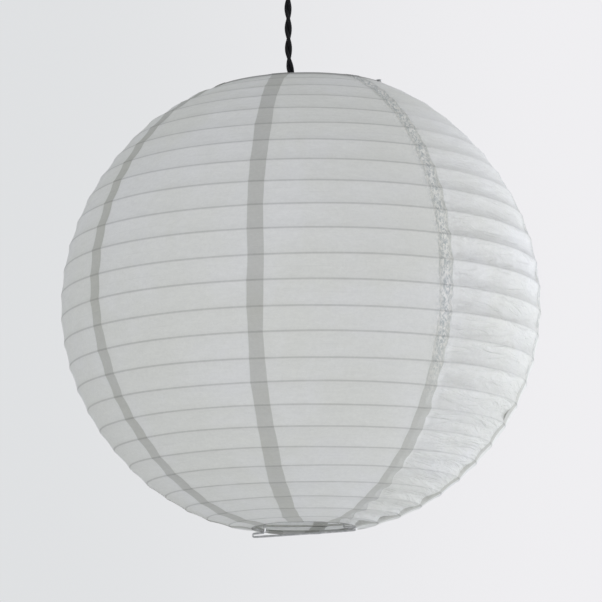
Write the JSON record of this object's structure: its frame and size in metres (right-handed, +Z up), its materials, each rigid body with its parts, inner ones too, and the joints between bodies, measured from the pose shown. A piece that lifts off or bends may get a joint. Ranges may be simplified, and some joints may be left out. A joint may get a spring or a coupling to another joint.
{
  "type": "paper lantern pendant",
  "caption": "Round white paper lantern with thin hoop ribs, a wire expander and a lampholder, hung on a short twisted black flex from a ceiling rose.",
  "frame": {"origin": "centre of the ceiling face of the rose base; everything hangs below it", "axes": "+Z up, out of the ceiling face; the wire expander stands in the XZ plane, with its feet towards +X and -X"},
  "size_m": [0.4, 0.4, 0.5705],
  "materials": {
    "washi_paper": "matte, thin and fibrous, with pasted overlap seams",
    "rib_wire": "satin drawn wire",
    "frame_wire": "bright galvanised wire",
    "braided_flex": "matte black braid over two twisted cores",
    "holder_plastic": "satin black moulding",
    "holder_grip_plastic": "plain white moulding",
    "rose_plastic": "white moulding",
    "brass": "bright pressed brass",
    "insulator_ceramic": "unglazed white",
    "opal_glass": "opal white",
    "bulb_plastic": "white moulding",
    "cap_insulator": "fused black glass",
    "cap_nickel": "nickel-plated, rolled thread",
    "zinc_screw": "zinc-plated",
    "grommet_rubber": "matte"
  },
  "bodies": {
    "root": {"rose_base": "rose_plastic", "rose_fixing_screw_left": "zinc_screw", "rose_fixing_screw_right": "zinc_screw", "rose_terminal_block": "rose_plastic", "rose_terminal_screw_live": "brass", "rose_terminal_screw_neutral": "brass", "rose_cord_anchor": "rose_plastic"},
    "rose_cover": {"rose_cover": "rose_plastic"},
    "cord_gimbal": {"cord_grommet": "grommet_rubber"},
    "pendant": {"twisted_flex": "braided_flex", "holder_cap": "holder_plastic", "holder_cord_grip": "holder_grip_plastic", "holder_body": "holder_plastic", "holder_insert": "insulator_ceramic", "holder_centre_contact": "brass", "holder_thread_shell": "brass"},
    "shade_nut": {"holder_shade_ring": "holder_plastic"},
    "bulb": {"bulb_glass": "opal_glass", "bulb_collar": "bulb_plastic", "bulb_screw_cap": "cap_nickel", "bulb_cap_insulator": "cap_insulator", "bulb_tip_contact": "brass"},
    "shade_frame": {"expander_wire": "frame_wire", "expander_collar": "frame_wire", "expander_arm_left": "frame_wire", "expander_arm_right": "frame_wire", "top_ring": "frame_wire", "gore_1": "washi_paper", "gore_2": "washi_paper", "gore_3": "washi_paper", "gore_4": "washi_paper", "gore_5": "washi_paper", "gore_6": "washi_paper", "gore_7": "washi_paper", "gore_8": "washi_paper"},
    "rib_01": {"rib_01": "rib_wire"},
    "rib_02": {"rib_02": "rib_wire"},
    "rib_03": {"rib_03": "rib_wire"},
    "rib_04": {"rib_04": "rib_wire"},
    "rib_05": {"rib_05": "rib_wire"},
    "rib_06": {"rib_06": "rib_wire"},
    "rib_07": {"rib_07": "rib_wire"},
    "rib_08": {"rib_08": "rib_wire"},
    "rib_09": {"rib_09": "rib_wire"},
    "rib_10": {"rib_10": "rib_wire"},
    "rib_11": {"rib_11": "rib_wire"},
    "rib_12": {"rib_12": "rib_wire"},
    "rib_13": {"rib_13": "rib_wire"},
    "rib_14": {"rib_14": "rib_wire"},
    "rib_15": {"rib_15": "rib_wire"},
    "rib_16": {"rib_16": "rib_wire"},
    "rib_17": {"rib_17": "rib_wire"},
    "rib_18": {"rib_18": "rib_wire"},
    "rib_19": {"rib_19": "rib_wire"},
    "rib_20": {"rib_20": "rib_wire"},
    "rib_21": {"rib_21": "rib_wire"},
    "rib_22": {"rib_22": "rib_wire"},
    "rib_23": {"rib_23": "rib_wire"},
    "rib_24": {"rib_24": "rib_wire"},
    "bottom_ring": {"bottom_ring": "frame_wire"}
  },
  "joints": [
    {"name": "rose_cover_turn", "type": "hinge", "parent": "root", "child": "rose_cover", "pos_m": [0, 0, -0.02], "axis": [0, 0, 1], "range_deg": [0, 60]},
    {"name": "swing_front_back", "type": "hinge", "parent": "root", "child": "cord_gimbal", "pos_m": [0, 0, -0.0453], "axis": [1, 0, 0], "range_deg": [-20, 20]},
    {"name": "swing_side", "type": "hinge", "parent": "cord_gimbal", "child": "pendant", "pos_m": [0, 0, -0.0453], "axis": [0, 1, 0], "range_deg": [-20, 20]},
    {"name": "shade_nut_turn", "type": "hinge", "parent": "pendant", "child": "shade_nut", "pos_m": [0, 0, -0.2765], "axis": [0, 0, 1], "range_deg": [0, 360]},
    {"name": "bulb_out", "type": "slide", "parent": "pendant", "child": "bulb", "axis": [0, 0, -1], "range_m": [0, 0.026]},
    {"name": "shade_turn", "type": "hinge", "parent": "pendant", "child": "shade_frame", "pos_m": [0, 0, -0.2703], "axis": [0, 0, 1], "range_deg": [-180, 180]},
    {"name": "shade_fold", "type": "slide", "parent": "shade_frame", "child": "bottom_ring", "axis": [0, 0, 1], "range_m": [0, 0.3145], "deforming": ["gore_1", "gore_2", "gore_3", "gore_4", "gore_5", "gore_6", "gore_7", "gore_8"]},
    {"name": "rib_01_fold", "type": "slide", "parent": "shade_frame", "child": "rib_01", "axis": [0, 0, 1], "range_m": [0, 0.00724]},
    {"name": "rib_02_fold", "type": "slide", "parent": "shade_frame", "child": "rib_02", "axis": [0, 0, 1], "range_m": [0, 0.01609]},
    {"name": "rib_03_fold", "type": "slide", "parent": "shade_frame", "child": "rib_03", "axis": [0, 0, 1], "range_m": [0, 0.02645]},
    {"name": "rib_04_fold", "type": "slide", "parent": "shade_frame", "child": "rib_04", "axis": [0, 0, 1], "range_m": [0, 0.0382]},
    {"name": "rib_05_fold", "type": "slide", "parent": "shade_frame", "child": "rib_05", "axis": [0, 0, 1], "range_m": [0, 0.05123]},
    {"name": "rib_06_fold", "type": "slide", "parent": "shade_frame", "child": "rib_06", "axis": [0, 0, 1], "range_m": [0, 0.06541]},
    {"name": "rib_07_fold", "type": "slide", "parent": "shade_frame", "child": "rib_07", "axis": [0, 0, 1], "range_m": [0, 0.08061]},
    {"name": "rib_08_fold", "type": "slide", "parent": "shade_frame", "child": "rib_08", "axis": [0, 0, 1], "range_m": [0, 0.09668]},
    {"name": "rib_09_fold", "type": "slide", "parent": "shade_frame", "child": "rib_09", "axis": [0, 0, 1], "range_m": [0, 0.11344]},
    {"name": "rib_10_fold", "type": "slide", "parent": "shade_frame", "child": "rib_10", "axis": [0, 0, 1], "range_m": [0, 0.13069]},
    {"name": "rib_11_fold", "type": "slide", "parent": "shade_frame", "child": "rib_11", "axis": [0, 0, 1], "range_m": [0, 0.14819]},
    {"name": "rib_12_fold", "type": "slide", "parent": "shade_frame", "child": "rib_12", "axis": [0, 0, 1], "range_m": [0, 0.16569]},
    {"name": "rib_13_fold", "type": "slide", "parent": "shade_frame", "child": "rib_13", "axis": [0, 0, 1], "range_m": [0, 0.18294]},
    {"name": "rib_14_fold", "type": "slide", "parent": "shade_frame", "child": "rib_14", "axis": [0, 0, 1], "range_m": [0, 0.19971]},
    {"name": "rib_15_fold", "type": "slide", "parent": "shade_frame", "child": "rib_15", "axis": [0, 0, 1], "range_m": [0, 0.21581]},
    {"name": "rib_16_fold", "type": "slide", "parent": "shade_frame", "child": "rib_16", "axis": [0, 0, 1], "range_m": [0, 0.2311]},
    {"name": "rib_17_fold", "type": "slide", "parent": "shade_frame", "child": "rib_17", "axis": [0, 0, 1], "range_m": [0, 0.24546]},
    {"name": "rib_18_fold", "type": "slide", "parent": "shade_frame", "child": "rib_18", "axis": [0, 0, 1], "range_m": [0, 0.25882]},
    {"name": "rib_19_fold", "type": "slide", "parent": "shade_frame", "child": "rib_19", "axis": [0, 0, 1], "range_m": [0, 0.2711]},
    {"name": "rib_20_fold", "type": "slide", "parent": "shade_frame", "child": "rib_20", "axis": [0, 0, 1], "range_m": [0, 0.28224]},
    {"name": "rib_21_fold", "type": "slide", "parent": "shade_frame", "child": "rib_21", "axis": [0, 0, 1], "range_m": [0, 0.29213]},
    {"name": "rib_22_fold", "type": "slide", "parent": "shade_frame", "child": "rib_22", "axis": [0, 0, 1], "range_m": [0, 0.30063]},
    {"name": "rib_23_fold", "type": "slide", "parent": "shade_frame", "child": "rib_23", "axis": [0, 0, 1], "range_m": [0, 0.30748]},
    {"name": "rib_24_fold", "type": "slide", "parent": "shade_frame", "child": "rib_24", "axis": [0, 0, 1], "range_m": [0, 0.31232]}
  ],
  "couplings": [
    {"joint": "rib_01_fold", "follows": "shade_fold", "ratio": 0.02296},
    {"joint": "rib_02_fold", "follows": "shade_fold", "ratio": 0.05112},
    {"joint": "rib_03_fold", "follows": "shade_fold", "ratio": 0.08406},
    {"joint": "rib_04_fold", "follows": "shade_fold", "ratio": 0.12143},
    {"joint": "rib_05_fold", "follows": "shade_fold", "ratio": 0.16284},
    {"joint": "rib_06_fold", "follows": "shade_fold", "ratio": 0.20792},
    {"joint": "rib_07_fold", "follows": "shade_fold", "ratio": 0.25625},
    {"joint": "rib_08_fold", "follows": "shade_fold", "ratio": 0.30735},
    {"joint": "rib_09_fold", "follows": "shade_fold", "ratio": 0.36066},
    {"joint": "rib_10_fold", "follows": "shade_fold", "ratio": 0.4155},
    {"joint": "rib_11_fold", "follows": "shade_fold", "ratio": 0.47115},
    {"joint": "rib_12_fold", "follows": "shade_fold", "ratio": 0.52679},
    {"joint": "rib_13_fold", "follows": "shade_fold", "ratio": 0.58163},
    {"joint": "rib_14_fold", "follows": "shade_fold", "ratio": 0.63495},
    {"joint": "rib_15_fold", "follows": "shade_fold", "ratio": 0.68615},
    {"joint": "rib_16_fold", "follows": "shade_fold", "ratio": 0.73476},
    {"joint": "rib_17_fold", "follows": "shade_fold", "ratio": 0.78043},
    {"joint": "rib_18_fold", "follows": "shade_fold", "ratio": 0.8229},
    {"joint": "rib_19_fold", "follows": "shade_fold", "ratio": 0.86196},
    {"joint": "rib_20_fold", "follows": "shade_fold", "ratio": 0.89738},
    {"joint": "rib_21_fold", "follows": "shade_fold", "ratio": 0.92883},
    {"joint": "rib_22_fold", "follows": "shade_fold", "ratio": 0.95584},
    {"joint": "rib_23_fold", "follows": "shade_fold", "ratio": 0.97764},
    {"joint": "rib_24_fold", "follows": "shade_fold", "ratio": 0.99303}
  ]
}
